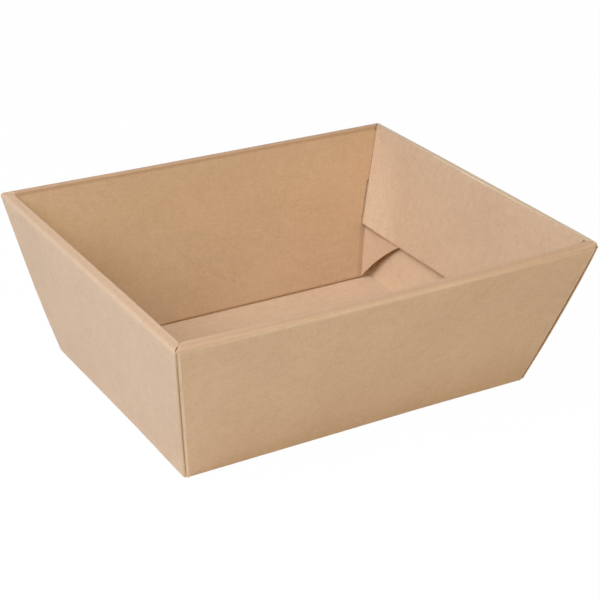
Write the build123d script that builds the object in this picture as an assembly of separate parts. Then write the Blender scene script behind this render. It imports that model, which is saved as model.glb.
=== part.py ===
from build123d import *
import math
import os

# A tray folded from one die-cut sheet of kraft board: a base, four sloping outer walls,
# a narrow flat rim along each wall, and inner panels that roll over the rim into the tray.
# Millimetres. The tray stands on its base at z = 0, with the long walls along X.

# Outside size, from crease to crease
top_length = 400.0       # along X at the outer rim crease
top_width = 332.6        # along Y at the outer rim crease
base_length = 338.0
base_width = 242.0
wall_height = 143.4      # from the table to the outer rim crease

# The sheet
board = 1.6              # thickness of the board
fold_inside = 0.7        # radius on the inside of a fold
lap_gap = 0.3            # air between layers that lie on each other
lap = 5.0                # length by which two zones of the sheet run into each other

# Rim and inner panels
rim_width = 10.0         # flat strip between a wall's two rim creases
mitre_gap = 1.0          # open slot between two rims at a corner
long_foot_gap = 0.3      # air under the long inner panels' lower edge
end_panel_depth = 95.4   # slope length of an end inner panel
end_panel_lean = 5.4     # degrees by which an end inner panel leans in from its outer wall
edge_gap = 0.4           # air between a cut edge and the panel that it runs along
long_side_inset = 8.0    # from the end wall's outside to a long inner panel's upper side edge

# Corner webs, on the side edges of the long outer walls
seam_inset = 1.2         # from the long wall's outside to the end wall's cut edge
web_length = 66.0
web_edge_low = (11.0, 20.0)      # the angled lower edge, as distance from the long wall's
web_edge_high = (50.0, 58.0)     # outside and height

# Ears of the end inner panels and their slits in the long inner panels
ear_bottom = 60.0
ear_top = 95.0
ear_reach = 3.6          # past the long inner panel's face
ear_slant = 3.0
slit_gap = 0.25          # air on each side of an ear

# Side flaps of the long inner panels
flap_inset = 14.0        # from the end wall's outside to the flap's fold
flap_fold_top = 57.0     # the flap's fold ends here, below the slit
flap_turn = 40.0         # length of flap before it lies along the end wall
flap_tail = 30.0
flap_bend = 120.0        # inside radius of its soft bend towards the end wall
flap_edge_low = (3.0, 3.6)       # the bowed lower edge, given like the web's
flap_edge_middle = (34.0, 33.0)
flap_edge_high = (74.0, 56.0)

# Worked out from the sizes above
fold_outside = board + fold_inside
end_slope = math.atan2((top_length - base_length) / 2, wall_height)
long_slope = math.atan2((top_width - base_width) / 2, wall_height)
half_length = base_length / 2
half_width = base_width / 2
reach = top_length       # longer than any piece, for cutting tools
web_face = board + lap_gap                 # depth of a web's outer face behind the end wall's
web_top = wall_height - fold_outside
corner_block = 4 * rim_width               # size of a cutting block over a corner


def leg_normals(points, side):
    """Unit normal of each leg of a path: side 1 is to its left, side -1 to its right."""
    legs = [(Vector(b) - Vector(a)).normalized() for a, b in zip(points, points[1:])]
    return [Vector(-leg.Y, leg.X) * side for leg in legs]


def offset_path(points, distance, side):
    """The path moved sideways by a distance, with its corners kept sharp."""
    normals = leg_normals(points, side)
    moved = [Vector(points[0]) + normals[0] * distance]
    for corner, before, after in zip(points[1:], normals, normals[1:]):
        middle = (before + after).normalized()
        moved.append(Vector(corner) + middle * (distance / middle.dot(before)))
    moved.append(Vector(points[-1]) + normals[-1] * distance)
    return moved


def folded_section(points, side):
    """Section of a folded strip of board. The points are the outside of its folds with
    sharp corners, and the thickness goes to the given side."""
    face = [Vector(p) for p in points]
    back = offset_path(face, board, side)
    bends = len(face) - 2
    radii = [0] + [fold_outside] * bends + [0, 0] + [fold_inside] * bends + [0]
    outline = FilletPolyline(*face, *reversed(back), radius=radii, close=True)
    return make_face(outline)


def fan_plane(origin, along, ahead):
    """Plane square to a fold line, with local x as near as it can be to the given direction."""
    along = Vector(*along).normalized()
    ahead = Vector(*ahead)
    flat = (ahead - along * ahead.dot(along)).normalized()
    return Plane(origin=origin, x_dir=flat, z_dir=along)


def prism_x(outline):
    """Prism along X of an outline in (y, z), over the whole tray."""
    return extrude(Plane.YZ * make_face(Polyline(*outline, close=True)), reach, both=True)


def prism_y(outline):
    """Prism along Y of an outline in (x, z), over the whole tray."""
    return extrude(Plane.XZ * make_face(Polyline(*outline, close=True)), reach, both=True)


def end_face(z, inset=0.0):
    """x of the end wall's outer face at a height, less an inset."""
    return half_length + z * math.tan(end_slope) - inset


def long_face(z, inset=0.0):
    """y of the long wall's outer face at a height, less an inset."""
    return half_width + z * math.tan(long_slope) - inset


# Rim creases and inner panels, as (distance from the middle, height)
long_outer_crease = (top_width / 2, wall_height)
long_inner_crease = (
    top_width / 2 - rim_width * math.cos(long_slope),
    wall_height + rim_width * math.sin(long_slope),
)
long_foot_z = board + long_foot_gap + board * math.sin(long_slope)
long_foot = (
    long_face(long_foot_z, 2 * board / math.cos(long_slope) + lap_gap),
    long_foot_z,
)
long_inner_slope = math.atan2(
    long_inner_crease[0] - long_foot[0], long_inner_crease[1] - long_foot[1]
)
end_outer_crease = (top_length / 2, wall_height)
end_inner_crease = (
    top_length / 2 - rim_width * math.cos(end_slope),
    wall_height + rim_width * math.sin(end_slope),
)
end_inner_slope = end_slope + math.radians(end_panel_lean)
end_foot = (
    end_inner_crease[0] - end_panel_depth * math.sin(end_inner_slope),
    end_inner_crease[1] - end_panel_depth * math.cos(end_inner_slope),
)


def long_inner_face(z, inset=0.0):
    """y of a long inner panel's room side at a height, less an inset."""
    return long_foot[0] + (z - long_foot_z) * math.tan(long_inner_slope) - inset


def end_inner_face(z):
    """x of an end inner panel's room side at a height."""
    return end_foot[0] + (z - end_foot[1]) * math.tan(end_inner_slope)


def middle_of(a, b):
    return ((a[0] + b[0]) / 2, (a[1] + b[1]) / 2)


def outer_section(half_base, outer_crease, inner_crease):
    """Base edge, outer wall and half of the rim."""
    start = (half_base - 2 * lap, 0)
    return folded_section([start, (half_base, 0), outer_crease, middle_of(outer_crease, inner_crease)], 1)


def inner_section(outer_crease, inner_crease, foot):
    """The other half of the rim and the inner panel."""
    return folded_section([middle_of(outer_crease, inner_crease), inner_crease, foot], 1)


# Plan of a rim mitre: a line from the inner crease's corner to the outer crease's corner
mitre_in = Vector(end_inner_crease[0], long_inner_crease[0])
mitre_out = Vector(top_length / 2, top_width / 2)
mitre_run = (mitre_out - mitre_in).normalized()
mitre_side = Vector(mitre_run.Y, -mitre_run.X)           # towards the end wall


def mitre_cutter(side):
    """Block over one corner that removes a rim beyond its mitre, on the given side of it."""
    start = mitre_in - mitre_run * 2 * lap - mitre_side * side * mitre_gap / 2
    stop = mitre_out + mitre_run * corner_block - mitre_side * side * mitre_gap / 2
    far = mitre_side * side * corner_block
    plan = Polyline(start, stop, stop + far, start + far, close=True)
    return extrude(Plane.XY.offset(web_top) * make_face(plan), wall_height)


def at_both_ends(solid):
    return [solid, solid.mirror(Plane.YZ)]


def at_four_corners(solid):
    return [copy for half in at_both_ends(solid) for copy in (half, half.mirror(Plane.XZ))]


def long_outer():
    """Outer wall of a long side, with its base fold and the outer half of its rim."""
    strip = extrude(
        Plane.YZ * outer_section(half_width, long_outer_crease, long_inner_crease),
        top_length / 2,
        both=True,
    )
    side = web_face / math.cos(end_slope) + fold_outside + lap / 2
    low, high = -lap, web_top
    sides = [
        (end_face(low, side), low), (end_face(high, side), high),
        (reach, high), (reach, reach), (-reach, reach), (-reach, high),
        (-end_face(high, side), high), (-end_face(low, side), low),
    ]
    return strip & prism_y(sides) - at_both_ends(mitre_cutter(1))


def long_inner():
    """Inner panel of a long side, with its slits and the inner half of its rim."""
    strip = extrude(
        Plane.YZ * inner_section(long_outer_crease, long_inner_crease, long_foot),
        top_length / 2,
        both=True,
    )
    fold_side = flap_inset + fold_outside + lap / 2
    half = [
        (end_face(0, fold_side), 0), (end_face(flap_fold_top, fold_side), flap_fold_top),
        (end_face(flap_fold_top, long_side_inset), flap_fold_top),
        (end_face(web_top, long_side_inset), web_top),
        (reach, web_top), (reach, reach),
    ]
    sides = half + [(-x, z) for x, z in reversed(half)]
    slit_low, slit_high = ear_bottom - slit_gap, ear_top + slit_gap
    back = (board + slit_gap) / math.cos(end_inner_slope)
    slit = prism_y([
        (end_inner_face(slit_low) - slit_gap, slit_low),
        (end_inner_face(slit_low) + back, slit_low),
        (end_inner_face(slit_high) + back, slit_high),
        (end_inner_face(slit_high) - slit_gap, slit_high),
    ])
    return strip & prism_y(sides) - at_both_ends(mitre_cutter(1)) - at_both_ends(slit)


def end_outer():
    """Outer wall of an end, with its base fold and the outer half of its rim."""
    strip = extrude(
        Plane.XZ * outer_section(half_length, end_outer_crease, end_inner_crease),
        top_width / 2,
        both=True,
    )
    half = [
        (long_face(0, seam_inset), -lap), (long_face(0, seam_inset), 0),
        (long_face(web_top, seam_inset), web_top), (reach, web_top), (reach, reach),
    ]
    sides = half + [(-y, z) for y, z in reversed(half)]
    cutter = mitre_cutter(-1)
    return strip & prism_x(sides) - [cutter, cutter.mirror(Plane.XZ)]


def end_inner():
    """Inner panel of an end, with its ears and the inner half of its rim."""
    strip = extrude(
        Plane.XZ * inner_section(end_outer_crease, end_inner_crease, end_foot),
        top_width / 2,
        both=True,
    )
    half = [
        (long_inner_face(0, edge_gap), 0),
        (long_inner_face(ear_bottom, edge_gap), ear_bottom),
        (long_inner_face(ear_bottom + ear_slant, -ear_reach), ear_bottom + ear_slant),
        (long_inner_face(ear_top - ear_slant, -ear_reach), ear_top - ear_slant),
        (long_inner_face(ear_top, edge_gap), ear_top),
        (long_inner_face(web_top, edge_gap), web_top),
        (reach, web_top), (reach, reach),
    ]
    sides = half + [(-y, z) for y, z in reversed(half)]
    cutter = mitre_cutter(-1)
    return strip & prism_x(sides) - [cutter, cutter.mirror(Plane.XZ)]


def corner_web():
    """Web of one corner: it turns round the long wall's side edge, behind the end wall."""
    fold_line = (math.tan(end_slope), math.tan(long_slope), 1)
    corner = Vector(end_face(0), long_face(0), 0)
    across = fan_plane(corner, fold_line, (-1, 0, 0))
    end_way = across.to_local_coords(corner + fan_plane(corner, fold_line, (0, -1, 0)).x_dir)
    end_way = Vector(end_way.X, end_way.Y)
    side = 1 if end_way.Y > 0 else -1
    turn_at = web_face / abs(end_way.Y)
    section = folded_section(
        [(turn_at + fold_outside + lap, 0), (turn_at, 0), Vector(turn_at, 0) + end_way * web_length],
        -side,
    )
    sheet = extrude(across * section, reach, both=True)
    low, high = [(long_face(z, inset), z) for inset, z in (web_edge_low, web_edge_high)]
    outline = prism_x([
        (reach, 0), (reach, web_top), (long_face(web_top, web_length), web_top),
        (long_face(high[1], web_length), high[1]), high, low, (long_face(0, fold_outside), 0),
    ])
    return sheet & outline


def side_flap():
    """Flap of one corner, folded from a long inner panel's side edge towards the end wall.
    It runs down to the end wall and then along it, and its free lower edge climbs in a bow."""
    fold_line = (math.tan(end_slope), math.tan(long_inner_slope), 1)
    foot = Vector(end_face(long_foot_z, flap_inset), long_foot[0], long_foot_z)
    across = fan_plane(foot, fold_line, (-1, 0, 0))
    end_way = fan_plane(foot, fold_line, (0, -1, 0)).x_dir
    out_way = end_way.cross(Vector(*fold_line)).normalized()
    if out_way.X < 0:
        out_way = -out_way
    rest_depth = flap_inset * math.cos(end_slope) - (web_face + board + lap_gap + board)
    turn = foot + end_way * flap_turn + out_way * rest_depth
    tail = turn + end_way * flap_tail
    path = [foot + across.x_dir * (fold_outside + lap), foot, turn, tail]
    path = [across.to_local_coords(p) for p in path]
    path = [Vector(p.X, p.Y) for p in path]
    side = 1 if path[2].Y > 0 else -1
    face, back = path, offset_path(path, board, side)
    radii = [0, fold_inside, flap_bend, 0, 0, flap_bend + board, fold_outside, 0]
    section = make_face(FilletPolyline(*face, *reversed(back), radius=radii, close=True))
    sheet = extrude(across * section, reach, both=True)
    low, middle, high = [
        (long_face(z, inset), z) for inset, z in (flap_edge_low, flap_edge_middle, flap_edge_high)
    ]
    outline = [
        Polyline((reach, long_foot_z), (long_face(long_foot_z, flap_edge_low[0]), long_foot_z), low),
        ThreePointArc(low, middle, high),
        Polyline(high, (high[0], ear_top), (long_inner_face(ear_top, 2 * lap), ear_top),
                 (long_inner_face(flap_fold_top, lap), flap_fold_top), (reach, flap_fold_top),
                 (reach, long_foot_z)),
    ]
    return sheet & extrude(Plane.YZ * make_face(outline), reach, both=True)


def base():
    """Base of the tray, between the base folds."""
    return extrude(Rectangle(base_length - 2 * lap, base_width - 2 * lap), board)


long_side = [long_outer(), long_inner()]
end_side = [end_outer(), end_inner()]
walls = [wall for wall in long_side for wall in (wall, wall.mirror(Plane.XZ))]
walls += [wall for wall in end_side for wall in (wall, wall.mirror(Plane.YZ))]
corners = at_four_corners(corner_web()) + at_four_corners(side_flap())
tray = base().fuse(*walls, *corners)

os.makedirs("parts", exist_ok=True)
export_step(tray, "parts/tray.step")
print("tray:", len(tray.solids()), "solid, volume", round(tray.volume / 1000, 1), "cm3")
print("box", tray.bounding_box())
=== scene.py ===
import math

import bmesh
import bpy
from mathutils import Matrix, Vector, noise


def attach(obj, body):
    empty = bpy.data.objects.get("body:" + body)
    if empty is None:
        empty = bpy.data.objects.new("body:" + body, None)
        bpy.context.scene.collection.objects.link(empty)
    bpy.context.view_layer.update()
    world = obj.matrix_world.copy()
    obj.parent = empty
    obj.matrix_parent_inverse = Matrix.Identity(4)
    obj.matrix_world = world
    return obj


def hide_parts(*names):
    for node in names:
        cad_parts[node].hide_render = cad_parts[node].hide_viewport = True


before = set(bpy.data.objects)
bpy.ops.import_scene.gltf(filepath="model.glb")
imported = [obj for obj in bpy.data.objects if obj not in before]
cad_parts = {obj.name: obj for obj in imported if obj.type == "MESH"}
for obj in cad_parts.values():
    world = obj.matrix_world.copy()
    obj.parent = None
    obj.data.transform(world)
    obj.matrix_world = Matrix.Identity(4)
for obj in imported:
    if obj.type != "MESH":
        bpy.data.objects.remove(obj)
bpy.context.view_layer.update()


# One die-cut sheet of fine-fluted kraft board, in millimetres.
# The long walls run along X, the end walls along Y, and the base lies on z = 0.
sheet = {
    "topLength": 400.0,         # at the outer rim creases
    "topWidth": 332.6,
    "baseLength": 338.0,
    "baseWidth": 242.0,
    "wallHeight": 143.4,        # up to the outer rim crease
    "board": 1.6,
    "foldInside": 0.7,          # radius inside a fold
    "layerGap": 0.3,            # air between a long wall's two layers
    "webGap": 0.1,              # air between an end wall and the webs behind it
    "rimWidth": 10.0,
    "footGap": 1.1,             # air under the long inner panels
    "endPanelDepth": 95.4,
    "endPanelLean": 5.4,        # degrees away from the outer wall
    "panelEdgeGap": 0.4,        # air beside an end inner panel
    "longPanelInset": 8.0,      # a long inner panel's side, from the end wall's outside
    "seamInset": 0.4,           # an end wall's cut side, from the long wall's outside
}

# How finely the board is divided, in millimetres or as a count
fineness = {
    "rowStep": 7.0,             # up a wall
    "shortStrip": 12.0,         # a strip no wider than this has closer rows
    "shortStep": 1.2,
    "besideFold": (0.8, 2.0, 4.5),
    "besideCut": (0.0, 0.45, 1.3, 3.0, 7.0, 14.0),      # close, to shape the crushed edge
    "middleClear": 1.0,         # the close rows stop this far short of the middle
    "markClear": 0.5,           # rows nearer than this to a wanted height give way to it
    "longColumns": 52,
    "endColumns": 42,
    "bendSteps": 7,
}

# The cutting rule presses the board thinner along its edges
crush = {
    "outside": 0.3,
    "inside": 0.16,
    "width": 1.3,
    "curve": 1.5,
}

# Painted light and shade, and the paler folds, as shares of a full tint
paintedLightAndPaleCreases = {
    "creaseReach": 3.0,         # mm beside a fold
    "creasesFrom": 20.0,        # mm up, below which the folds get neither the paler tint nor its painted highlight
    "paleCreaseAndHighlightFrom": 100.0,        # mm up, where each rim's own share of the paler tint and painted highlight counts
    "paleCreaseAndHighlight": {"front": 0.9, "back": 0.2, "left": 0.5, "right": 0.0},       # paler creases by rim: partly stretched fibre, partly a painted highlight
    "paintedShade": {"front": 0.5, "back": 0.55, "left": 0.3, "right": 0.0},     # painted shade on each rim, as the rims face up into the key lamp
    "paintedShadeEase": 1.5,         # mm up the rim's bend
    "rightRimFrom": 143.6,      # mm up; painted light on the right rim's flat and painted shade on its inner fold
    "rightFlatFrom": 2.4,       # mm out from its inner crease
    # shares of painted light on the flat and of painted shade on the fold
    "rightFlat": 1.3,
    "rightFold": 0.3,
}

metre = 0.001                   # one millimetre of the sheet in the scene's metres
sameHeight = 1e-3

foldOutside = sheet["board"] + sheet["foldInside"]
halfLength = sheet["baseLength"] / 2
halfWidth = sheet["baseWidth"] / 2
endSlope = math.atan2((sheet["topLength"] - sheet["baseLength"]) / 2, sheet["wallHeight"])
longSlope = math.atan2((sheet["topWidth"] - sheet["baseWidth"]) / 2, sheet["wallHeight"])
wallTop = sheet["wallHeight"] - foldOutside
webDepth = sheet["board"] + sheet["webGap"]

# The base's flat part ends where its folds begin
baseReachX = halfLength - foldOutside * math.tan((math.pi / 2 - endSlope) / 2)
baseReachY = halfWidth - foldOutside * math.tan((math.pi / 2 - longSlope) / 2)


def clamped(share):
    return min(1.0, max(0.0, share))


def eased(share):
    return share * share * (3 - 2 * share)


def interpolated(table, x):
    for (x0, y0), (x1, y1) in zip(table, table[1:]):
        if x <= x1:
            return y0 + (y1 - y0) * (x - x0) / (x1 - x0)
    return table[-1][1]


# Outside of an end wall and of a long wall at a height, as the distance from the middle
def endFace(z, inset=0.0):
    return halfLength + z * math.tan(endSlope) - inset


def longFace(z, inset=0.0):
    return halfWidth + z * math.tan(longSlope) - inset


# The rim lies square to its outer wall. Points of a section are (distance out, height).
def rimCreases(halfTop, slope):
    outer = Vector((halfTop, sheet["wallHeight"]))
    return outer, outer + sheet["rimWidth"] * Vector((-math.cos(slope), math.sin(slope)))


longOuterCrease, longInnerCrease = rimCreases(sheet["topWidth"] / 2, longSlope)
endOuterCrease, endInnerCrease = rimCreases(sheet["topLength"] / 2, endSlope)

longFootZ = sheet["board"] + sheet["footGap"] + sheet["board"] * math.sin(longSlope)
twoLayers = 2 * sheet["board"] / math.cos(longSlope) + sheet["layerGap"]
longFoot = Vector((longFace(longFootZ, twoLayers), longFootZ))
longPanelSlope = math.atan2(longInnerCrease.x - longFoot.x, longInnerCrease.y - longFoot.y)

endPanelSlope = endSlope + math.radians(sheet["endPanelLean"])
endPanelDown = Vector((math.sin(endPanelSlope), math.cos(endPanelSlope)))
endFoot = endInnerCrease - sheet["endPanelDepth"] * endPanelDown


# Room side of an inner panel at a height
def longPanelFace(z, inset=0.0):
    return longFoot.x + (z - longFootZ) * math.tan(longPanelSlope) - inset


def endPanelFace(z):
    return endFoot.x + (z - endFoot.y) * math.tan(endPanelSlope)


# Distances along a run: close together near its ends, then evenly apart
def stations(length, step):
    close = [a for a in fineness["besideFold"] if a < length / 2 - fineness["middleClear"]]
    low = close[-1] if close else 0.0
    high = length - low
    count = max(1, round((high - low) / step))
    even = [low + (high - low) * k / count for k in range(1, count)]
    return [0.0] + close + even + [length - a for a in reversed(close)] + [length]


# Rows across a folded strip, whose corners are the outside of its folds. Each row has its point
# on the outside, the outward normal, its length along the flat sheet and its share of a crease.
# The marks are heights that get a row of their own on the legs that climb.
def foldRows(corners, radii, step, marks=()):
    climb = 0.3
    legs = [(b - a).normalized() for a, b in zip(corners, corners[1:])]
    turns = [math.atan2(a.x * b.y - a.y * b.x, a.dot(b)) for a, b in zip(legs, legs[1:])]
    trims = [0.0] + [r * math.tan(abs(t) / 2) for r, t in zip(radii, turns)] + [0.0]
    rows = []
    along = 0.0
    for k, leg in enumerate(legs):
        start = corners[k] + leg * trims[k]
        length = (corners[k + 1] - leg * trims[k + 1] - start).length
        spots = stations(length, step if length > fineness["shortStrip"] else fineness["shortStep"])
        for z in marks:
            spot = (z - start.y) / leg.y if abs(leg.y) > climb else 0.0
            if 0 < spot < length:
                spots = [s for s in spots if s in (0.0, length) or abs(s - spot) > fineness["markClear"]]
                spots.append(spot)
        normal = Vector((leg.y, -leg.x))
        for spot in sorted(spots):
            ends = [spot] if k else []
            ends += [length - spot] if k < len(turns) else []
            crease = max([max(0.0, 1 - e / paintedLightAndPaleCreases["creaseReach"]) ** 2 for e in ends], default=0.0)
            rows.append({"point": start + leg * spot, "normal": normal, "along": along + spot,
                         "crease": crease})
        along += length
        if k < len(turns):
            sign = 1 if turns[k] > 0 else -1
            centre = rows[-1]["point"] - normal * radii[k] * sign
            bend = (radii[k] - sign * sheet["board"] / 2) * abs(turns[k])
            for n in range(1, fineness["bendSteps"]):
                share = n / fineness["bendSteps"]
                turned = Matrix.Rotation(turns[k] * share, 2) @ normal
                rows.append({"point": centre + turned * radii[k] * sign, "normal": turned,
                             "along": along + bend * share, "crease": 1.0})
            along += bend
    return rows


# Rows of a whole wall, from the base's fold over the rim to the inner panel's lower edge
def wallRows(halfBase, outerCrease, innerCrease, foot, marks):
    baseLead = Vector((10.0, 0.0))
    fold = Vector((halfBase, 0.0))
    corners = [fold - baseLead, fold, outerCrease, innerCrease, foot]
    rows = foldRows(corners, [foldOutside] * 3, fineness["rowStep"], marks)
    first = next(k for k, row in enumerate(rows) if row["crease"] == 1.0)
    offset = rows[first]["along"]
    for row in rows:
        row["along"] -= offset
        if row["point"].y <= paintedLightAndPaleCreases["creasesFrom"]:
            row["crease"] = 0.0
    return rows[first:]


def rowAt(rows, height, start=0):
    return next(k for k in range(start, len(rows)) if abs(rows[k]["point"].y - height) < sameHeight)


# Positions across a strip: close beside both cut sides, and even shares of what lies between
def columnsBetween(low, high, count):
    close = fineness["besideCut"]
    reach = close[-1]
    span = high - low - 2 * reach
    middle = [low + reach + span * k / count for k in range(1, count)]
    return [low + a for a in close] + middle + [high - a for a in reversed(close)]


def crushed(distance):
    return max(0.0, 1 - distance / crush["width"]) ** crush["curve"]


def pressedIn(squeeze, layer):
    return squeeze * (crush["inside"] if layer else -crush["outside"])


body = bmesh.new()
uvLayer = body.loops.layers.uv.new("sheet")
# Per point: its share of a crease, which sets the paler tint with its painted highlight, and its share of
# painted shade
creaseLayer = body.verts.layers.float.new("crease")
paintedShadeLayer = body.verts.layers.float.new("paintedShade")


# Lays a strip of board between two grids of points. Cells in the holes are left out, and
# every side of a cell that the cut test names is closed with a raw edge.
def layBoard(outside, inside, flat, crease, isCut, isHole=lambda i, j: False, paintedShade=0.0):
    rowCount, columnCount = len(outside), len(outside[0])
    grids = []
    for points in (outside, inside):
        grid = []
        for i in range(rowCount):
            line = []
            for j in range(columnCount):
                vert = body.verts.new(points[i][j] * metre)
                vert[creaseLayer] = crease[i][j]
                vert[paintedShadeLayer] = paintedShade
                line.append(vert)
            grid.append(line)
        grids.append(grid)

    # a cell near the middle tells which way round the faces go
    i, j = max(1, rowCount // 2) - 1, max(1, columnCount // 2) - 1
    side = (outside[i + 1][j] - outside[i][j]).cross(outside[i][j + 1] - outside[i][j])
    facesOut = side.dot(outside[i][j] - inside[i][j]) > 0

    def inGrid(i, j):
        return 0 <= i < rowCount - 1 and 0 <= j < columnCount - 1

    for i in range(rowCount - 1):
        for j in range(columnCount - 1):
            if isHole(i, j):
                continue
            spots = [(i, j), (i + 1, j), (i + 1, j + 1), (i, j + 1)]
            for layer in (0, 1):
                order = spots if facesOut == (layer == 0) else spots[::-1]
                face = body.faces.new([grids[layer][a][b] for a, b in order])
                face.smooth = True
                for loop, (a, b) in zip(face.loops, order):
                    loop[uvLayer].uv = Vector(flat[a][b]) * metre
            sides = [
                ("first row", (i - 1, j), (i, j), (i, j + 1)),
                ("last row", (i + 1, j), (i + 1, j), (i + 1, j + 1)),
                ("first column", (i, j - 1), (i, j), (i + 1, j)),
                ("last column", (i, j + 1), (i, j + 1), (i + 1, j + 1)),
            ]
            middle = sum((outside[a][b] for a, b in spots), Vector()) / 4
            for name, beyond, one, two in sides:
                isOpen = isHole(*beyond) if inGrid(*beyond) else isCut(name, i, j)
                if isOpen:
                    closeSide(grids, flat, one, two, middle * metre)


# Raw edge between the two layers, from one point of the grid to the next
def closeSide(grids, flat, one, two, middle):
    ring = [grids[0][one[0]][one[1]], grids[0][two[0]][two[1]],
            grids[1][two[0]][two[1]], grids[1][one[0]][one[1]]]
    normal = (ring[1].co - ring[0].co).cross(ring[3].co - ring[0].co)
    lengths = [Vector(flat[one[0]][one[1]]).length, Vector(flat[two[0]][two[1]]).length]
    marks = [(lengths[0], 0.0), (lengths[1], 0.0),
             (lengths[1], sheet["board"]), (lengths[0], sheet["board"])]
    if normal.dot(ring[0].co + ring[1].co - 2 * middle) < 0:
        ring, marks = ring[::-1], marks[::-1]
    face = body.faces.new(ring)
    face.smooth = True
    face.material_index = 1
    for loop, mark in zip(face.loops, marks):
        loop[uvLayer].uv = Vector(mark) * metre


# The folds push the walls into slight curves. Millimetres outward and downward at mid length,
# and in the belly's case at mid height. The edge's belly is at the wall's low and high end.
give = {
    "front": {"rimOut": 1.4, "rimDown": 1.2, "belly": 0.5, "edgeBelly": (0.0, 0.0)},
    "back": {"rimOut": 0.8, "rimDown": 0.5, "belly": 0.4, "edgeBelly": (0.0, 0.0)},
    "left": {"rimOut": 1.8, "rimDown": 0.0, "belly": 0.6, "edgeBelly": (0.15, 1.3)},
    "right": {"rimOut": 2.2, "rimDown": 0.0, "belly": 0.6, "edgeBelly": (1.2, 0.3)},
    "wobble": 0.16,
    "wobbleSize": 55.0,
    "wobbleFrom": 12.0,         # mm up from the table, where the wobble is full
}

# The right end of the front rim stands proud
proudEnd = {
    "lift": 3.4,
    "reach": 16.0,
    "depth": 24.0,              # how far below the rim the lift begins
    "behind": 2.0,              # from the wall's outside to the full lift
}

# A wall's directions, seen from above: outward, and along it
walls = {
    "front": {"out": Vector((0, -1, 0)), "along": Vector((1, 0, 0)), "half": sheet["topLength"] / 2},
    "back": {"out": Vector((0, 1, 0)), "along": Vector((1, 0, 0)), "half": sheet["topLength"] / 2},
    "left": {"out": Vector((-1, 0, 0)), "along": Vector((0, 1, 0)), "half": sheet["topWidth"] / 2},
    "right": {"out": Vector((1, 0, 0)), "along": Vector((0, 1, 0)), "half": sheet["topWidth"] / 2},
}


# The share is the place along the wall, from -1 to 1
def givenWay(point, name, share, height):
    amount = give[name]
    middle = max(0.0, 1 - share * share)
    rise = clamped(height / sheet["wallHeight"])
    belly = math.sin(math.pi * rise)
    low, high = amount["edgeBelly"]
    edge = low + (high - low) * (share + 1) / 2
    out = amount["rimOut"] * middle * rise ** 1.5 + belly * (amount["belly"] * middle + edge)
    down = amount["rimDown"] * middle * rise ** 3
    wave = noise.noise(point / give["wobbleSize"]) * give["wobble"]
    wave *= min(1.0, height / give["wobbleFrom"])
    return point + walls[name]["out"] * (out + wave) - Vector((0, 0, down))


def proudLift(name, t, out, height):
    start = wallTop - proudEnd["depth"]
    if name != "front" or height < start:
        return 0.0
    near = clamped((t - sheet["topLength"] / 2 + proudEnd["reach"]) / proudEnd["reach"])
    behind = clamped((longFace(height) - out) / proudEnd["behind"])
    rise = min(1.0, (height - start) / proudEnd["depth"])
    return proudEnd["lift"] * near ** 2 * behind * rise ** 2


# The lower edge of an end inner panel bows towards the outer wall between its ears
panelBow = {
    "foot": 9.0,
    "held": 6.0,                # length beside each ear that stays put
    "ease": 40.0,
    "drop": 0.85,               # mm down for each mm outward
    "curve": 1.5,
}


def bowedPanel(edge, deep):
    push = panelBow["foot"] * eased(clamped((edge - panelBow["held"]) / panelBow["ease"]))
    return push * deep ** panelBow["curve"]


# Places one strip of a wall. The limits give the strip's reach to each side for a point of a row.
# A joined strip runs on into its neighbours, and the last row of one with a cut foot is a raw edge.
def layWallStrip(name, rows, limits, count, halfBase, isCut, isHole=lambda i, j: False,
                 joined=False, cutFoot=False, bows=False, moreColumns=None):
    wall = walls[name]
    sign = wall["out"].x + wall["out"].y
    start, stop = rows[0]["along"], rows[-1]["along"]
    outside, inside, flat, crease = [], [], [], []
    for i, row in enumerate(rows):
        grids = []
        for layer in (0, 1):
            spot = row["point"] - row["normal"] * sheet["board"] * layer
            low, high = limits(i, spot)
            columns = columnsBetween(low, high, count)
            if moreColumns:
                columns = moreColumns(i, columns)
            line = []
            for t in columns:
                edge = min(t - columns[0], columns[-1] - t)
                squeeze = 0.0 if joined else crushed(edge)
                if cutFoot:
                    squeeze = max(squeeze, crushed(stop - row["along"]))
                pressed = spot + row["normal"] * pressedIn(squeeze, layer)
                lift = 0.0 if joined else proudLift(name, t, spot.x, spot.y)
                place = wall["out"] * pressed.x + wall["along"] * t + Vector((0, 0, pressed.y + lift))
                if bows:
                    push = bowedPanel(edge, (row["along"] - start) / (stop - start))
                    place += wall["out"] * push - Vector((0, 0, push * panelBow["drop"]))
                line.append(givenWay(place, name, t / wall["half"], pressed.y))
            grids.append(line)
            if layer == 0:
                far = sign * (halfBase + row["along"])
                flat.append([(t, far) if wall["out"].y else (far, t) for t in columns])
        outside.append(grids[0])
        inside.append(grids[1])
        crease.append([row["crease"]] * len(grids[0]))
    layBoard(outside, inside, flat, crease, isCut, isHole)


def isSide(side, i, j):
    return side in ("first column", "last column")


# The way square to a fold line that comes nearest to the given one
def acrossFold(foldLine, ahead):
    along = foldLine.normalized()
    return (ahead - along * ahead.dot(along)).normalized()


# A piece that hangs on a leaning fold line is drawn in the plane square to the line,
# and each of its points then slides along the line to its height
def foldFan(start, line):
    across = acrossFold(line, Vector((-1, 0, 0)))
    return {"start": start, "line": line, "across": across, "up": line.normalized().cross(across)}


def onFan(fan, flatPoint, z):
    point = fan["start"] + fan["across"] * flatPoint.x + fan["up"] * flatPoint.y
    return point + fan["line"] * (z - point.z)


# Side edges of the long outer walls fold round behind the end walls, and a web runs on from each
web = {
    "length": 66.0,
    "lead": 0.4,                # flat part before the fold
    "lowerEdge": [(0.0, 0.5), (2.3, 0.5), (11.0, 20.0), (50.0, 58.0), (66.5, 58.0)],
    "step": 9.0,
    "loose": 12.0,              # length over which it lets go of the long wall's curve
    "firstRow": 0.8,
    "foldClear": 1.7,           # height just above the base's fold
}

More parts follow.
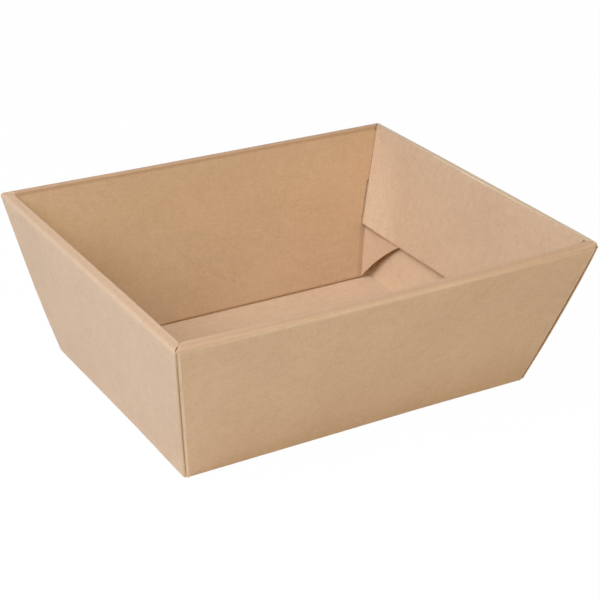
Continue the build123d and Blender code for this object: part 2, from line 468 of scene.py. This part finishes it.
webFan = foldFan(Vector((halfLength, halfWidth, 0.0)), Vector((math.tan(endSlope), math.tan(longSlope), 1.0)))
webAhead = acrossFold(webFan["line"], Vector((0, -1, 0)))
webWay = Vector((webAhead.dot(webFan["across"]), webAhead.dot(webFan["up"])))
webTurnAt = webDepth / abs(webWay.y)


def longWallReach(z):
    return onFan(webFan, Vector((webTurnAt + foldOutside + web["lead"], 0.0)), z).x


def layWeb(name, sideX, heights):
    sideY = walls[name]["out"].y
    turn = Vector((webTurnAt, 0.0))
    corners = [turn + Vector((foldOutside + web["lead"], 0.0)), turn, turn + webWay * web["length"]]
    # the path has to turn left, with its outside on the right
    flip = -1 if webWay.y > 0 else 1
    path = [Vector((c.x, c.y * flip)) for c in corners]
    outside, inside, flat, crease = [], [], [], []
    for row in foldRows(path, [foldOutside], web["step"]):
        lines = []
        for layer in (0, 1):
            spot = row["point"] - row["normal"] * sheet["board"] * layer
            spot.y *= flip
            if layer == 0:
                inset = max(0.0, halfWidth - onFan(webFan, spot, 0.0).y)
                lowest = interpolated(web["lowerEdge"], inset)
            line = []
            for height in heights:
                z = lowest + (wallTop - lowest) * height / wallTop
                place = onFan(webFan, spot, z)
                place = Vector((place.x * sideX, place.y * sideY, z))
                moved = givenWay(place, name, longWallReach(z) / walls[name]["half"], z)
                line.append(place.lerp(moved, max(0.0, 1 - row["along"] / web["loose"])))
            lines.append(line)
        outside.append(lines[0])
        inside.append(lines[1])
        crease.append([row["crease"]] * len(heights))
        flat.append([(sideX * (longWallReach(0) + row["along"]), sideY * (halfWidth + z)) for z in heights])

    def isCut(side, i, j):
        return side != "first row" or heights[j] < web["foldClear"]

    layBoard(outside, inside, flat, crease, isCut)


# Slits in the long inner panels, which hold the ears of the end inner panels
slit = {
    "low": 59.75,
    "high": 95.25,
    "air": 0.4,
    "beside": 3.0,              # width of the column on its inner side
    "ease": 4.0,
    "outerColumns": 3,
}


def layLongWall(name):
    marks = [wallTop, slit["high"], slit["low"], flap["foldTop"]]
    rows = wallRows(halfWidth, longOuterCrease, longInnerCrease, longFoot, marks)
    startY = rows[0]["point"].x
    top = rowAt(rows, wallTop)
    inner = rowAt(rows, wallTop, top + 1)
    flapRow = rowAt(rows, flap["foldTop"], inner + 1)
    outerRows, upperRows, lowerRows = rows[:top + 1], rows[inner:flapRow + 1], rows[flapRow:]
    count = fineness["longColumns"]
    closeCount = len(fineness["besideCut"])
    lastColumn = count + 2 * closeCount - 2

    def outerLimits(i, spot):
        reach = longWallReach(max(0.0, outerRows[i]["point"].y))
        return -reach, reach

    layWallStrip(name, outerRows, outerLimits, count, startY,
                 lambda side, i, j: isSide(side, i, j) and i < fineness["bendSteps"], joined=True)
    heights = [0.0, web["firstRow"]]
    heights += [row["point"].y for row in outerRows if row["point"].y > web["foldClear"]]
    for sideX in (-1, 1):
        layWeb(name, sideX, heights)

    layRim(name, rows[top:inner + 1], True, startY)

    def upperLimits(i, spot):
        reach = endFace(spot.y, sheet["longPanelInset"])
        return -reach, reach

    # the upper rows have a column on each side of the slits
    def withSlit(i, columns):
        slitInner = endPanelFace(upperRows[i]["point"].y) - slit["air"]
        slitOuter = slitInner + (sheet["board"] + 2 * slit["air"]) / math.cos(endPanelSlope)
        margin = columns[-1] - slitOuter
        right = [slitInner - slit["beside"], slitInner, slitOuter]
        for k in range(slit["outerColumns"]):
            right.append(slitOuter + margin * (k + 1) / slit["outerColumns"])
        middle = columns[closeCount:-closeCount]
        scale = (right[0] - slit["ease"]) / middle[-1]
        return [-x for x in reversed(right)] + [x * scale for x in middle] + right

    def slitHole(i, j):
        high, low = upperRows[i]["point"].y, upperRows[i + 1]["point"].y
        between = low > slit["low"] - sameHeight and high < slit["high"] + sameHeight
        return between and j in (slit["outerColumns"], lastColumn - 1 - slit["outerColumns"])

    # the fold of a flap is narrower than the panel above it, whose corners end in a raw edge
    def upperCut(side, i, j):
        isCorner = j < closeCount or j > lastColumn - 2 - closeCount
        return isSide(side, i, j) or (side == "last row" and isCorner)

    layWallStrip(name, upperRows, upperLimits, count, startY, upperCut, isHole=slitHole,
                 moreColumns=withSlit)

    def lowerLimits(i, spot):
        reach = flapFoldReach(max(longFootZ, lowerRows[i]["point"].y))
        return -reach, reach

    layWallStrip(name, lowerRows, lowerLimits, count, startY,
                 lambda side, i, j: side == "last row", joined=True, cutFoot=True)
    for sideX in (-1, 1):
        layFlap(name, sideX)


# A rim strip ends at the mitre, a line in plan from the inner creases' corner to the outer one
mitreIn = Vector((endInnerCrease.x, longInnerCrease.x))
mitreOut = Vector((sheet["topLength"] / 2, sheet["topWidth"] / 2))
mitreRun = (mitreOut - mitreIn).normalized()

# Each mitre's gap across the rim, as (share of the way from the outer crease to the inner one, mm)
mitres = {
    "nearCorner": [
        (0.0, 0.5), (0.15, 0.9), (0.3, 1.3), (0.42, 0.15), (0.6, 0.15), (0.75, 1.3), (0.9, 0.3), (1.0, 0.2),
    ],
    "rightCorner": [(0.0, 3.6), (0.3, 2.8), (0.55, 1.2), (0.76, 1.2), (0.82, 4.6), (1.0, 4.6)],
    "rightNotch": [(0.0, 0.6), (0.6, 0.6), (0.66, 8.0), (1.0, 8.0)],
    "plainCorner": [(0.0, 0.3), (1.0, 0.3)],
}
mitresOf = {                    # at the low and the high end of each rim
    "front": ("nearCorner", "rightCorner"),
    "back": ("plainCorner", "plainCorner"),
    "left": ("nearCorner", "plainCorner"),
    "right": ("rightNotch", "plainCorner"),
}


def layRim(name, rows, isLong, halfBase):
    start, stop = rows[0]["along"], rows[-1]["along"]
    near, far = (mitreIn.x, mitreIn.y) if isLong else (mitreIn.y, mitreIn.x)
    run, rise = (mitreRun.x, mitreRun.y) if isLong else (mitreRun.y, mitreRun.x)

    # each of the two rims at a mitre has half of the gap
    def limits(i, spot):
        reach = near + (spot.x - far) * run / rise
        share = (rows[i]["along"] - start) / (stop - start)
        low, high = [interpolated(mitres[corner], share) * 0.5 / rise for corner in mitresOf[name]]
        return low - reach, reach - high

    count = fineness["longColumns"] if isLong else fineness["endColumns"]
    layWallStrip(name, rows, limits, count, halfBase, isSide)


# Each side edge of a long inner panel carries a flap that folds softly to the end wall and lies
# along it. Its free lower edge climbs in a bow.
flap = {
    "inset": 14.0,              # its fold, from the end wall's outside
    "foldTop": 57.0,
    "turn": 40.0,               # length before it lies along the end wall
    "tail": 28.0,
    "bend": 120.0,
    "lead": 3.0,
    "edge": [(3.0, 3.6), (34.0, 33.0), (74.0, 56.0)],   # distance from the long wall, height
    "top": 95.0,
    "shoulder": (5.0, 10.0),    # distances from its fold between which its top edge climbs
    "paintedShade": 0.3,             # painted shade, as the end inner panel shades the flap
    "step": 6.0,
    "rowsUp": 14,
    "crowding": 0.3,            # how much the rows draw towards its cut edges
    "grainFrom": 300.0,         # its place on the flat sheet, which only moves the grain
}

flapFan = foldFan(
    Vector((endFace(longFootZ, flap["inset"]), longFoot.x, longFootZ)),
    Vector((math.tan(endSlope), math.tan(longPanelSlope), 1.0)),
)
flapWay = acrossFold(flapFan["line"], Vector((0, -1, 0)))
flapOut = flapWay.cross(flapFan["line"]).normalized()
if flapOut.x < 0:
    flapOut = -flapOut
flapDepth = flap["inset"] * math.cos(endSlope) - (2 * webDepth + sheet["board"])


def flapFoldReach(z):
    return onFan(flapFan, Vector((foldOutside + flap["lead"], 0.0)), z).x


# Circle through three points of the bowed edge, as (y, z)
def circleThrough(a, b, c):
    (ax, ay), (bx, by), (cx, cy) = a, b, c
    squareA, squareB, squareC = ax * ax + ay * ay, bx * bx + by * by, cx * cx + cy * cy
    d = 2 * (ax * (by - cy) + bx * (cy - ay) + cx * (ay - by))
    x = (squareA * (by - cy) + squareB * (cy - ay) + squareC * (ay - by)) / d
    y = (squareA * (cx - bx) + squareB * (ax - cx) + squareC * (bx - ax)) / d
    return x, y, math.hypot(ax - x, ay - y)


bowY, bowZ, bowRadius = circleThrough(*[(longFace(z, inset), z) for inset, z in flap["edge"]])


def bowHeight(y):
    low, high = flap["edge"][0][1], flap["edge"][2][1]
    inside = max(0.0, bowRadius ** 2 - (y - bowY) ** 2)
    up = bowZ + math.copysign(math.sqrt(inside), low - bowZ)
    return min(max(up, low), high)


# Where the bow crosses a line up the flap, found by halving
def flapEdgeAt(gap):
    low, high = longFootZ, flap["top"]
    for halving in range(30):
        z = (low + high) / 2
        if z < bowHeight(longPanelFace(z, gap)):
            low = z
        else:
            high = z
    return max(z, longFootZ)


# A flap's board in the plane square to its fold: the path of its far side, and whether that path
# is mirrored, as the room side is the inside of the fold
def flapPath():
    def flatPoint(v):
        offset = v - flapFan["start"]
        return Vector((offset.dot(flapFan["across"]), offset.dot(flapFan["up"])))

    lead = Vector((foldOutside + flap["lead"], 0.0))
    foot = Vector((0.0, 0.0))
    turn = flatPoint(flapFan["start"] + flapWay * flap["turn"] + flapOut * flapDepth)
    tail = flatPoint(flapFan["start"] + flapWay * (flap["turn"] + flap["tail"]) + flapOut * flapDepth)
    path = [lead, foot, turn, tail]
    side = 1 if turn.y > 0 else -1
    legs = [(b - a).normalized() for a, b in zip(path, path[1:])]
    normals = [Vector((-leg.y, leg.x)) * side for leg in legs]
    if normals[0].dot(turn - foot) > 0:
        normals = [-n for n in normals]
    back = [path[0] + normals[0] * sheet["board"]]
    for corner, a, b in zip(path[1:], normals, normals[1:]):
        middle = (a + b).normalized()
        back.append(corner + middle * sheet["board"] / middle.dot(a))
    back.append(path[-1] + normals[-1] * sheet["board"])
    mirror = -1 if normals[0].dot(Vector((legs[0].y, -legs[0].x))) < 0 else 1
    return [Vector((p.x, p.y * mirror)) for p in back], mirror


def layFlap(name, sideX):
    sideY = walls[name]["out"].y
    path, mirror = flapPath()
    section = foldRows(path, [foldOutside, flap["bend"] + sheet["board"]], flap["step"])
    end = section[-1]["along"]
    steps = flap["rowsUp"]
    near, far = flap["shoulder"]
    topEdge = [(0, flap["foldTop"]), (near, flap["foldTop"]), (far, flap["top"])]
    outside, inside, flat, crease = [], [], [], []
    for row in section:
        lines = []
        for layer in (0, 1):
            spot = row["point"] - row["normal"] * sheet["board"] * layer
            spot = Vector((spot.x, spot.y * mirror))
            if layer == 0:
                gap = longFoot.x - onFan(flapFan, spot, longFootZ).y
                lowest = flapEdgeAt(gap)
                highest = interpolated(topEdge, gap)
            line = []
            for k in range(steps + 1):
                share = k / steps
                share = eased(share) * flap["crowding"] + share * (1 - flap["crowding"])
                z = lowest + (highest - lowest) * share
                squeeze = crushed(min(z - lowest, highest - z, end - row["along"]))
                normal = Vector((row["normal"].x, row["normal"].y * mirror))
                place = onFan(flapFan, spot + normal * pressedIn(squeeze, layer), z)
                place = Vector((place.x * sideX, place.y * sideY, place.z))
                line.append(givenWay(place, name, flapFoldReach(z) / walls[name]["half"], z))
            lines.append(line)
        outside.append(lines[0])
        inside.append(lines[1])
        crease.append([0.0] * (steps + 1))
        across = sideX * (flapFoldReach(paintedLightAndPaleCreases["creasesFrom"]) + row["along"])
        up = halfWidth + flap["grainFrom"] - lowest
        flat.append([(across, sideY * (up - (highest - lowest) * k / steps)) for k in range(steps + 1)])
    layBoard(outside, inside, flat, crease, lambda side, i, j: side != "first row",
             paintedShade=flap["paintedShade"])


# Ears on the sides of the end inner panels
ear = {
    "low": 60.0,
    "high": 95.0,
    "reach": 3.6,               # past the long inner panel's face
    "slant": 3.0,
    "columns": 4,
    "grainFrom": 150.0,
}
earProfile = [(ear["low"], 0.0), (ear["low"] + ear["slant"], 1.0),
              (ear["high"] - ear["slant"], 1.0), (ear["high"], 0.0)]


def inEar(row):
    return ear["low"] - sameHeight < row["point"].y < ear["high"] + sameHeight


def layEndWall(name):
    marks = [wallTop] + [height for height, share in earProfile]
    rows = wallRows(halfLength, endOuterCrease, endInnerCrease, endFoot, marks)
    startX = rows[0]["point"].x
    top = rowAt(rows, wallTop)
    inner = rowAt(rows, wallTop, top + 1)
    outerRows, panelRows = rows[:top + 1], rows[inner:]

    def outerLimits(i, spot):
        reach = longFace(max(0.0, outerRows[i]["point"].y), sheet["seamInset"])
        share = min(1.0, i / fineness["bendSteps"])
        reach = baseReachY * (1 - share) + reach * share
        return -reach, reach

    layWallStrip(name, outerRows, outerLimits, fineness["endColumns"], startX, isSide)
    layRim(name, rows[top:inner + 1], False, startX)

    def panelLimits(i, spot):
        reach = longPanelFace(panelRows[i]["point"].y, sheet["panelEdgeGap"])
        return -reach, reach

    def notEar(side, i, j):
        besideEar = side != "last row" and inEar(panelRows[i]) and inEar(panelRows[i + 1])
        return side == "last row" or (isSide(side, i, j) and not besideEar)

    layWallStrip(name, panelRows, panelLimits, fineness["endColumns"], startX, notEar,
                 cutFoot=True, bows=True)
    for side in (-1, 1):
        layEar(name, side, [row for row in panelRows if inEar(row)], startX)


def layEar(name, side, rows, startX):
    wall = walls[name]
    last = ear["columns"] - 1
    outside, inside, flat, crease = [], [], [], []
    for row in rows:
        height = row["point"].y
        width = (ear["reach"] + sheet["panelEdgeGap"]) * interpolated(earProfile, height)
        grids = []
        for layer in (0, 1):
            spot = row["point"] - row["normal"] * sheet["board"] * layer
            line = []
            for k in range(ear["columns"]):
                t = side * (longPanelFace(height, sheet["panelEdgeGap"]) + width * k / last)
                place = wall["out"] * spot.x + wall["along"] * t + Vector((0, 0, spot.y))
                line.append(givenWay(place, name, t / wall["half"], spot.y))
            grids.append(line)
        outside.append(grids[0])
        inside.append(grids[1])
        far = wall["out"].x * (startX + row["along"])
        flat.append([(far, side * (ear["grainFrom"] + k)) for k in range(ear["columns"])])
        crease.append([0.0] * ear["columns"])
    layBoard(outside, inside, flat, crease, lambda side, i, j: side == "last column")


def layBase():
    reach = longWallReach(0)
    half = (baseReachX + reach) / 2
    xs = [-baseReachX, -half] + columnsBetween(-reach, reach, fineness["longColumns"]) + [half, baseReachX]
    ys = columnsBetween(-baseReachY, baseReachY, fineness["endColumns"])
    outside = [[Vector((x, y, 0)) for x in xs] for y in ys]
    inside = [[Vector((x, y, sheet["board"])) for x in xs] for y in ys]
    flat = [[(x, y) for x in xs] for y in ys]
    crease = [[0.0] * len(xs) for y in ys]

    # the base's corners, past the long walls' folds, are the two outer cells at each end
    def isCut(side, i, j):
        return side in ("first row", "last row") and (j < 2 or j > len(xs) - 4)

    layBoard(outside, inside, flat, crease, isCut)


# Three corners have swollen outward in x and y, in millimetres by height, and the right rim
# stands out towards its near end, in millimetres by the share of the way to the corner
swollen = {
    "nearRight": {
        "side": (1, -1),
        "x": [(0.0, 0.9), (13.0, 1.1), (40.0, 1.7), (76.0, 1.6), (107.0, 1.3), (130.0, 0.9), (150.0, -0.4)],
        "y": [(0.0, 1.4), (40.0, 1.2), (76.0, 0.9), (107.0, 0.6), (130.0, 0.25), (150.0, 0.0)],
    },
    "nearLeft": {
        "side": (-1, -1),
        "x": [(0.0, 0.9), (60.0, 1.1), (120.0, 1.5), (150.0, 1.5)],
        "y": [(0.0, 0.0), (90.0, 0.0), (150.0, -0.5)],
    },
    "farLeft": {
        "side": (-1, 1),
        "x": [(0.0, 0.3), (40.0, 0.9), (100.0, 1.1), (150.0, 1.8)],
        "y": [(0.0, 0.0), (90.0, 0.0), (150.0, 1.6)],
    },
}
swellFrom = 0.25                # share of the half length where a corner's swelling begins
rimSwell = {
    "out": [(-0.1, 0.0), (0.38, 1.0), (0.65, 1.8), (0.79, 2.4), (0.93, 2.9), (0.968, 2.8), (0.983, 0.0)],
    "fromHeight": 60.0,
    "fromShare": 0.5,           # share of the way out to the right wall
}


def swell(x, y, z):
    shiftX, shiftY = 0.0, 0.0
    for corner in swollen.values():
        sideX, sideY = corner["side"]
        weight = 1.0
        for share in (x * sideX / endFace(z), y * sideY / longFace(z)):
            weight *= eased(clamped((share - swellFrom) / (1 - swellFrom)))
        shiftX += sideX * weight * interpolated(corner["x"], z)
        shiftY += sideY * weight * interpolated(corner["y"], z)
    nearEnd = -y / longFace(z)
    if x > 0 and z > rimSwell["fromHeight"] and nearEnd > rimSwell["out"][0][0]:
        rise = (z - rimSwell["fromHeight"]) / (sheet["wallHeight"] - rimSwell["fromHeight"])
        outward = max(0.0, x / endFace(z) - rimSwell["fromShare"]) / (1 - rimSwell["fromShare"])
        shiftX += interpolated(rimSwell["out"], nearEnd) * rise ** 2 * outward ** 2
    return Vector((shiftX, shiftY, 0.0)) * metre


def rimOf(x, y):
    onEnd = (abs(x) - mitreIn.x) * mitreRun.y > (abs(y) - mitreIn.y) * mitreRun.x
    if onEnd:
        return "right" if x > 0 else "left"
    return "back" if y > 0 else "front"


def markPaintedLightAndCreases(vert, x, y, z):
    rim = rimOf(x, y)
    # each rim's share of the paler crease tint, partly stretched fibre and partly a painted highlight
    if z > paintedLightAndPaleCreases["paleCreaseAndHighlightFrom"]:
        vert[creaseLayer] *= paintedLightAndPaleCreases["paleCreaseAndHighlight"][rim]
    # painted shade on the rims, which face up into the key lamp
    if z > wallTop:
        vert[paintedShadeLayer] = paintedLightAndPaleCreases["paintedShade"][rim] * min(1.0, (z - wallTop) / paintedLightAndPaleCreases["paintedShadeEase"])
    # painted light on the right rim's flat, which faces away from the key lamp, and painted shade on its
    # inner fold, which faces it
    if z > paintedLightAndPaleCreases["rightRimFrom"] and rim == "right":
        if x > endInnerCrease.x + paintedLightAndPaleCreases["rightFlatFrom"]:
            vert[creaseLayer] = paintedLightAndPaleCreases["rightFlat"]
        else:
            vert[paintedShadeLayer] = paintedLightAndPaleCreases["rightFold"]


layBase()
for wallName in ("front", "back"):
    layLongWall(wallName)
for wallName in ("left", "right"):
    layEndWall(wallName)

samePlace = 2e-6                # metres
noLength = 1e-7
bmesh.ops.remove_doubles(body, verts=body.verts, dist=samePlace)
bmesh.ops.dissolve_degenerate(body, edges=body.edges, dist=noLength)
for edge in body.edges:
    kinds = {face.material_index for face in edge.link_faces}
    edge.smooth = len(kinds) == 1 and len(edge.link_faces) == 2
for vert in body.verts:
    x, y, z = vert.co / metre
    markPaintedLightAndCreases(vert, x, y, z)
    vert.co += swell(x, y, z)
trayMesh = bpy.data.meshes.new("foldedTray")
body.to_mesh(trayMesh)
body.free()
tray = bpy.data.objects.new("foldedTray", trayMesh)
bpy.context.scene.collection.objects.link(tray)
print("tray folded,", len(trayMesh.polygons), "faces")


def toLinear(hexColour):
    values = [int(hexColour[k:k + 2], 16) / 255 for k in (1, 3, 5)]
    return [v / 12.92 if v <= 0.04045 else ((v + 0.055) / 1.055) ** 2.4 for v in values] + [1.0]


# Adds a node, sets its settings and inputs, and links the inputs that are other nodes' outputs.
# An input is given by its name, or as i0, i1 and so on by its number. One output is given back.
def addNode(tree, kind, settings=None, out=0, **inputs):
    node = tree.nodes.new("ShaderNode" + kind)
    for key, value in (settings or {}).items():
        setattr(node, key, value)
    for key, value in inputs.items():
        socket = node.inputs[int(key[1:])] if key[0] == "i" and key[1:].isdigit() else node.inputs[key]
        if isinstance(value, bpy.types.NodeSocket):
            tree.links.new(value, socket)
        else:
            socket.default_value = value
    return node.outputs[out] if node.outputs else None


def newMaterial(name):
    material = bpy.data.materials.new(name)
    material.use_nodes = True
    material.node_tree.nodes.clear()
    return material, material.node_tree


multiply = {"operation": "MULTIPLY"}
multiplyAdd = {"operation": "MULTIPLY_ADD"}
subtract = {"operation": "SUBTRACT"}
absolute = {"operation": "ABSOLUTE"}
maximum = {"operation": "MAXIMUM"}
sine = {"operation": "SINE"}
colourMix = {"data_type": "RGBA"}

# Kraft liner, the unbleached paper on both faces of the board, calendered on a paper machine.
# That gives the eye a matte brown with a faint sheen, cloudy where the pulp settled unevenly,
# with fine fibres along the machine's run and dark flecks of bark. Its folds are paler, partly from
# stretched fibres and partly as a painted highlight, and the rims and tucked flaps carry painted shade.
kraftLiner = {
    "light": "#D4B28B",
    "dark": "#C29F79",
    "fleck": "#A98660",
    # paler folds: partly stretched fibre, partly a painted highlight
    "paleCreaseAndHighlightTint": "#E2C7A0",
    # painted shade, on the rims and tucked flaps
    "paintedShadeTint": "#A87D58",
    "clouds": {                 # sizes are those of the pulp's own clouds and clumps
        "broad": {"mm": 70.0, "detail": 2.0, "roughness": 0.5, "share": 0.35},
        "cloud": {"mm": 9.0, "detail": 5.0, "roughness": 0.62, "share": 0.5},
        "clump": {"mm": 2.6, "detail": 3.0, "roughness": 0.6, "share": 0.6},
    },
    # real fibres are 3 mm by 0.03 mm and flecks about 0.3 mm, drawn coarser so that they show
    "fibre": {"longMm": 7.0, "wideMm": 0.9, "detail": 3.0, "roughness": 0.6, "curl": 0.35, "share": 0.35},
    "grain": {"mm": 0.8, "detail": 2.0, "roughness": 0.7},
    "toneRange": (0.68, 1.12),  # sum of the patterns that is all dark, and all light
    "fleckRange": (0.62, 0.8),
    "fleckStrength": 0.4,
    "reliefOfFibre": 0.6,
    "reliefMm": 0.1,
    "reliefStrength": 0.25,
    "roughness": 0.6,
}


def makeLiner():
    paper = kraftLiner
    fibres, grains = paper["fibre"], paper["grain"]
    material, tree = newMaterial("calenderedKraftLiner")
    flat = addNode(tree, "UVMap", {"uv_map": "sheet"})
    fibreScale = (1 / (fibres["longMm"] * metre), 1 / (fibres["wideMm"] * metre), 1.0)
    stretched = addNode(tree, "Mapping", Vector=flat, Scale=fibreScale)
    fibre = addNode(tree, "TexNoise", Vector=stretched, Scale=1.0, Detail=fibres["detail"],
                    Roughness=fibres["roughness"], Distortion=fibres["curl"])
    grain = addNode(tree, "TexNoise", Vector=flat, Scale=1 / (grains["mm"] * metre),
                    Detail=grains["detail"], Roughness=grains["roughness"])

    # the tone between dark and light is a sum of the patterns
    mottle = 0.0
    for cloud in paper["clouds"].values():
        pattern = addNode(tree, "TexNoise", Vector=flat, Scale=1 / (cloud["mm"] * metre),
                          Detail=cloud["detail"], Roughness=cloud["roughness"])
        mottle = addNode(tree, "Math", multiplyAdd, i0=pattern, i1=cloud["share"], i2=mottle)
    mottle = addNode(tree, "Math", multiplyAdd, i0=fibre, i1=fibres["share"], i2=mottle)
    low, high = paper["toneRange"]
    tone = addNode(tree, "MapRange", i0=mottle, i1=low, i2=high)
    colour = addNode(tree, "Mix", colourMix, 2, i0=tone, i6=toLinear(paper["dark"]),
                     i7=toLinear(paper["light"]))

    low, high = paper["fleckRange"]
    flecks = addNode(tree, "MapRange", i0=grain, i1=low, i2=high, i3=0.0, i4=paper["fleckStrength"])
    # The crease tint is partly paler stretched fibre and partly a painted highlight; the darker tint is
    # painted shade.
    crease = addNode(tree, "Attribute", {"attribute_name": "crease"}, 2)
    paleCreaseAndHighlight = addNode(tree, "Math", multiply, i0=crease, i1=fibre)
    paintedShade = addNode(tree, "Attribute", {"attribute_name": "paintedShade"}, 2)
    for share, tint in ((flecks, "fleck"), (paleCreaseAndHighlight, "paleCreaseAndHighlightTint"), (paintedShade, "paintedShadeTint")):
        colour = addNode(tree, "Mix", colourMix, 2, i0=share, i6=colour, i7=toLinear(paper[tint]))

    relief = addNode(tree, "Math", multiplyAdd, i0=fibre, i1=paper["reliefOfFibre"], i2=grain)
    bump = addNode(tree, "Bump", Strength=paper["reliefStrength"], Distance=paper["reliefMm"] * metre,
                   Height=relief)
    shader = addNode(tree, "BsdfPrincipled", i0=colour, Roughness=paper["roughness"], Normal=bump)
    addNode(tree, "OutputMaterial", Surface=shader)
    return material


# The raw edge of fine-fluted board, cut by a steel rule. It gives the eye two thin pale lines,
# the liners, with a wave of fluting paper between them and shade in its hollows, all dull.
fluteEdge = {
    "liner": "#DFC39E",
    "medium": "#D9BC95",
    "shade": "#C4A47D",
    "pitchMm": 3.4,
    "waveMm": 0.45,             # half the height of the wave
    "linerMm": 0.32,            # real liners are 0.2 mm, drawn coarser so that they show
    "mediumMm": 0.22,
    "softMm": 0.05,
    "roughness": 0.92,
}


def makeEdge():
    cut = fluteEdge
    material, tree = newMaterial("ruleCutFluteEdge")
    flat = addNode(tree, "UVMap", {"uv_map": "sheet"})
    run, depth = addNode(tree, "SeparateXYZ", i0=flat).node.outputs[:2]
    middle = sheet["board"] / 2 * metre

    # the wave of the fluting, and how far a point is from it
    turns = addNode(tree, "Math", multiply, i0=run, i1=2 * math.pi / (cut["pitchMm"] * metre))
    wave = addNode(tree, "Math", sine, i0=turns)
    crest = addNode(tree, "Math", multiplyAdd, i0=wave, i1=cut["waveMm"] * metre, i2=middle)
    offset = addNode(tree, "Math", subtract, i0=depth, i1=crest)
    offset = addNode(tree, "Math", absolute, i0=offset)
    onMedium = addNode(tree, "MapRange", i0=offset, i1=cut["mediumMm"] * metre,
                       i2=cut["mediumMm"] / 2 * metre, i3=0.0, i4=1.0)

    # the liners lie far from the middle of the board
    centre = addNode(tree, "Math", subtract, i0=depth, i1=middle)
    centre = addNode(tree, "Math", absolute, i0=centre)
    linerFrom = middle - cut["linerMm"] * metre
    onLiner = addNode(tree, "MapRange", i0=centre, i1=linerFrom - cut["softMm"] * metre,
                      i2=linerFrom, i3=0.0, i4=1.0)

    colour = toLinear(cut["shade"])
    for share, tint in ((onMedium, "medium"), (onLiner, "liner")):
        colour = addNode(tree, "Mix", colourMix, 2, i0=share, i6=colour, i7=toLinear(cut[tint]))
    shader = addNode(tree, "BsdfPrincipled", i0=colour, Roughness=cut["roughness"])
    addNode(tree, "OutputMaterial", Surface=shader)
    return material


trayMesh.materials.append(makeLiner())
trayMesh.materials.append(makeEdge())
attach(tray, "root")
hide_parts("tray")
print("materials made")


# A white studio, in metres and watts
studio = {
    "floorSize": 6.0,
    "floorCells": 8,
    "floorDrop": 0.0004,        # below the base, so that the two don't flicker
    "floorColour": "#EFEFEF",
    "floorWhite": 0.985,        # share of plain white that is seen, the rest carries the shadow
    "worldStrength": 0.04,
    "white": (1.0, 1.0, 1.0, 1.0),
    "aim": (0.0, 0.0, 0.05),
    "lights": {
        "keySoftbox": {"at": (-1.5, -0.4, 2.0), "size": 2.0, "power": 96.0, "tint": "#DEE8FF"},
        "leftSoftbox": {"at": (-2.0, -0.5, 1.5), "size": 1.6, "power": 3.0, "tint": "#DDE9FF"},
        "frontFill": {"at": (0.4, -2.6, 1.3), "size": 1.8, "power": 27.0, "tint": "#FFE9AE"},
    },
}


# 1 where the surface is seen, straight or in a reflection, and 0 where it only gives light
def seenShare(tree):
    path = addNode(tree, "LightPath").node.outputs
    seen = path["Is Camera Ray"]
    for ray in ("Is Glossy Ray", "Is Transmission Ray"):
        seen = addNode(tree, "Math", maximum, i0=seen, i1=path[ray])
    return seen


# Matt white paper, hung as a sweep: it gives the eye an even white with a soft, faint shadow
def makeFloor():
    grid = bmesh.new()
    cells = studio["floorCells"]
    bmesh.ops.create_grid(grid, x_segments=cells, y_segments=cells, size=studio["floorSize"] / 2)
    floorMesh = bpy.data.meshes.new("studioSweep")
    grid.to_mesh(floorMesh)
    grid.free()
    floor = bpy.data.objects.new("studioSweep", floorMesh)
    bpy.context.scene.collection.objects.link(floor)
    material, tree = newMaterial("mattWhiteSweep")
    lit = addNode(tree, "BsdfDiffuse", Color=toLinear(studio["floorColour"]))
    plain = addNode(tree, "Emission", Color=studio["white"], Strength=1.0)
    share = addNode(tree, "Math", multiply, i0=seenShare(tree), i1=studio["floorWhite"])
    mixed = addNode(tree, "MixShader", i0=share, i1=lit, i2=plain)
    addNode(tree, "OutputMaterial", Surface=mixed)
    floorMesh.materials.append(material)
    floor.location.z = -studio["floorDrop"]


def makeWorld():
    world = bpy.data.worlds.new("studioWhite")
    bpy.context.scene.world = world
    world.use_nodes = True
    tree = world.node_tree
    tree.nodes.clear()
    strength = addNode(tree, "MapRange", i0=seenShare(tree), i1=0.0, i2=1.0,
                       i3=studio["worldStrength"], i4=1.0)
    sky = addNode(tree, "Background", Color=studio["white"], Strength=strength)
    addNode(tree, "OutputWorld", Surface=sky)


def makeLights():
    for name, light in studio["lights"].items():
        lamp = bpy.data.lights.new(name, "AREA")
        lamp.shape = "SQUARE"
        lamp.size = light["size"]
        lamp.energy = light["power"]
        lamp.color = toLinear(light["tint"])[:3]
        lampObject = bpy.data.objects.new(name, lamp)
        place = Vector(light["at"])
        lampObject.location = place
        lampObject.rotation_euler = (Vector(studio["aim"]) - place).to_track_quat("-Z", "Y").to_euler()
        bpy.context.scene.collection.objects.link(lampObject)


# The photo's camera: its place in metres and its axes
view = {
    "lensMm": 95.30,
    "sensorMm": 36.0,
    "clip": (0.05, 50.0),
    "at": (-0.6640, -1.0640, 0.6908),
    "right": (0.8529, -0.5212, 0.0309),
    "up": (0.2091, 0.3953, 0.8944),
    "back": (-0.4784, -0.7564, 0.4462),
}


def makeCamera():
    lens = bpy.data.cameras.new("photoCamera")
    lens.lens = view["lensMm"]
    lens.sensor_width = view["sensorMm"]
    lens.clip_start, lens.clip_end = view["clip"]
    camera = bpy.data.objects.new("photoCamera", lens)
    bpy.context.scene.collection.objects.link(camera)
    axes = Matrix((view["right"], view["up"], view["back"])).transposed().to_4x4()
    camera.matrix_world = Matrix.Translation(view["at"]) @ axes
    bpy.context.scene.camera = camera


makeFloor()
makeWorld()
makeLights()
makeCamera()
bpy.context.scene.view_settings.view_transform = "Standard"
print("studio ready")

bpy.context.view_layer.update()
